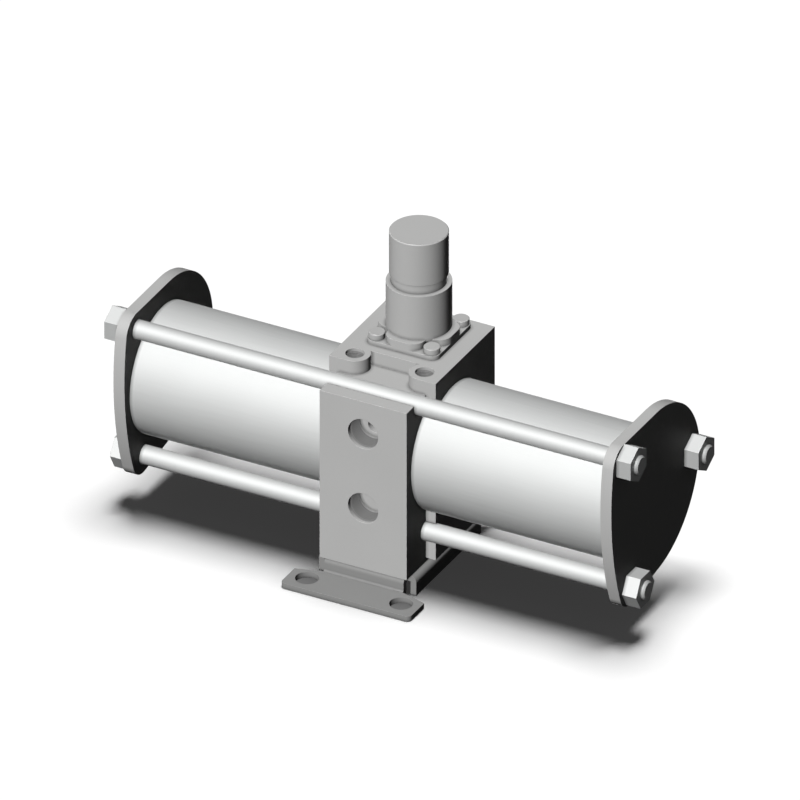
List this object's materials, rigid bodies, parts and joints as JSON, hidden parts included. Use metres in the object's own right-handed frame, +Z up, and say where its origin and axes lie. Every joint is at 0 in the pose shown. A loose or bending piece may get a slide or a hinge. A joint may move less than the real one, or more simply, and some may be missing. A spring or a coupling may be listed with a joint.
{
  "type": "air pressure booster",
  "caption": "Pneumatic booster: a valve body between two tie-rod cylinders on a stepped foot bracket, with a pressure governor and push-lock knob on top.",
  "frame": {"origin": "middle of the four foot holes, on the plane that the feet stand on", "axes": "+X along the cylinders to the right seen from the port side, -Y towards the port side, +Z up to the knob"},
  "size_m": [0.3, 0.118, 0.176],
  "materials": {
    "cast_body": "smooth light grey paint over a cast aluminium body",
    "cover_metal": "fine matt light grey, machined plate",
    "tube_metal": "drawn tube, satin clear anodised",
    "rod_steel": "bright drawn steel, zinc plated",
    "nut_steel": "zinc plated steel",
    "bracket_steel": "zinc plated sheet, dull",
    "screw_steel": "zinc plated steel",
    "knob_plastic": "light grey moulded plastic, matt",
    "bonnet_metal": "smooth light grey paint",
    "piston_metal": "turned, plain",
    "ground_steel": "hard chromed and ground",
    "seal_rubber": "black nitrile rubber",
    "wear_plastic": "filled resin guide strip",
    "bearing_brass": "turned brass",
    "valve_plastic": "dark moulded resin",
    "spring_steel": "bright spring wire",
    "sleeve_metal": "hard anodised sleeve"
  },
  "bodies": {
    "housing": {"center_body": "cast_body", "mounting_bracket": "bracket_steel", "bracket_screws": "screw_steel", "tube_left": "tube_metal", "tube_right": "tube_metal", "end_cover_left": "cover_metal", "end_cover_right": "cover_metal", "tie_rod_front": "rod_steel", "tie_rod_rear": "rod_steel", "tie_rod_bottom": "rod_steel", "tie_rod_nuts_left": "nut_steel", "tie_rod_nuts_right": "nut_steel", "tube_gaskets": "seal_rubber", "rod_bushes": "bearing_brass", "rod_seals": "seal_rubber", "rod_seal_retainers": "nut_steel", "check_valve_seats": "bearing_brass", "check_valve_cages": "valve_plastic", "inlet_valve_left_spring": "spring_steel", "inlet_valve_right_spring": "spring_steel", "outlet_valve_left_spring": "spring_steel", "outlet_valve_right_spring": "spring_steel", "pilot_bushes": "bearing_brass", "pilot_spring_left": "spring_steel", "pilot_spring_right": "spring_steel", "changeover_sleeve": "sleeve_metal", "changeover_seals": "seal_rubber", "changeover_plug": "nut_steel", "bonnet": "bonnet_metal", "bonnet_screws": "screw_steel", "diaphragm": "seal_rubber", "governor_seat": "bearing_brass", "governor_valve_spring": "spring_steel", "main_spring": "spring_steel"},
    "piston_assembly": {"piston_rod": "ground_steel", "piston_left": "piston_metal", "piston_right": "piston_metal", "piston_seals": "seal_rubber", "piston_wear_rings": "wear_plastic", "piston_nuts": "nut_steel"},
    "inlet_poppet_left": {"inlet_valve_left": "valve_plastic"},
    "inlet_poppet_right": {"inlet_valve_right": "valve_plastic"},
    "outlet_poppet_left": {"outlet_valve_left": "valve_plastic"},
    "outlet_poppet_right": {"outlet_valve_right": "valve_plastic"},
    "pilot_left": {"pilot_pin_left": "ground_steel"},
    "pilot_right": {"pilot_pin_right": "ground_steel"},
    "spool": {"changeover_spool": "ground_steel", "spool_seals": "seal_rubber"},
    "governor": {"diaphragm_plates": "nut_steel", "governor_valve": "bearing_brass"},
    "screw": {"adjusting_screw": "ground_steel", "screw_clip": "spring_steel"},
    "nut": {"adjusting_nut": "bearing_brass"},
    "cap": {"knob": "knob_plastic"}
  },
  "joints": [
    {"name": "piston_slide", "type": "slide", "parent": "housing", "child": "piston_assembly", "axis": [1, 0, 0], "range_m": [-0.0388, 0.0388]},
    {"name": "inlet_right_lift", "type": "slide", "parent": "housing", "child": "inlet_poppet_right", "axis": [1, 0, 0], "range_m": [0, 0.0015], "stiffness_N_per_m": 200, "springref_m": -0.001, "deforming": ["inlet_valve_right_spring"]},
    {"name": "inlet_left_lift", "type": "slide", "parent": "housing", "child": "inlet_poppet_left", "axis": [-1, 0, 0], "range_m": [0, 0.0015], "stiffness_N_per_m": 200, "springref_m": -0.001, "deforming": ["inlet_valve_left_spring"]},
    {"name": "outlet_right_lift", "type": "slide", "parent": "housing", "child": "outlet_poppet_right", "axis": [-1, 0, 0], "range_m": [0, 0.0015], "stiffness_N_per_m": 200, "springref_m": -0.001, "deforming": ["outlet_valve_right_spring"]},
    {"name": "outlet_left_lift", "type": "slide", "parent": "housing", "child": "outlet_poppet_left", "axis": [1, 0, 0], "range_m": [0, 0.0015], "stiffness_N_per_m": 200, "springref_m": -0.001, "deforming": ["outlet_valve_left_spring"]},
    {"name": "pilot_right_push", "type": "slide", "parent": "housing", "child": "pilot_right", "axis": [-1, 0, 0], "range_m": [0, 0.003], "stiffness_N_per_m": 500, "springref_m": -0.002, "deforming": ["pilot_spring_right"]},
    {"name": "pilot_left_push", "type": "slide", "parent": "housing", "child": "pilot_left", "axis": [1, 0, 0], "range_m": [0, 0.003], "stiffness_N_per_m": 500, "springref_m": -0.002, "deforming": ["pilot_spring_left"]},
    {"name": "spool_shift", "type": "slide", "parent": "housing", "child": "spool", "axis": [0, 1, 0], "range_m": [0, 0.005]},
    {"name": "governor_lift", "type": "slide", "parent": "housing", "child": "governor", "axis": [0, 0, 1], "range_m": [-0.001, 0], "stiffness_N_per_m": 2000, "springref_m": 0.001, "deforming": ["governor_valve_spring", "diaphragm"]},
    {"name": "adjusting_turn", "type": "hinge", "parent": "housing", "child": "screw", "pos_m": [0, 0.0203, 0.138], "axis": [0, 0, 1], "range_deg": [-720, 720]},
    {"name": "nut_travel", "type": "slide", "parent": "housing", "child": "nut", "axis": [0, 0, 1], "range_m": [-0.0026, 0.0026], "deforming": ["main_spring"]},
    {"name": "knob_push", "type": "slide", "parent": "screw", "child": "cap", "axis": [0, 0, 1], "range_m": [-0.0049, 0]}
  ],
  "couplings": [
    {"joint": "nut_travel", "follows": "adjusting_turn", "m_per_rad": 0.00019894}
  ]
}
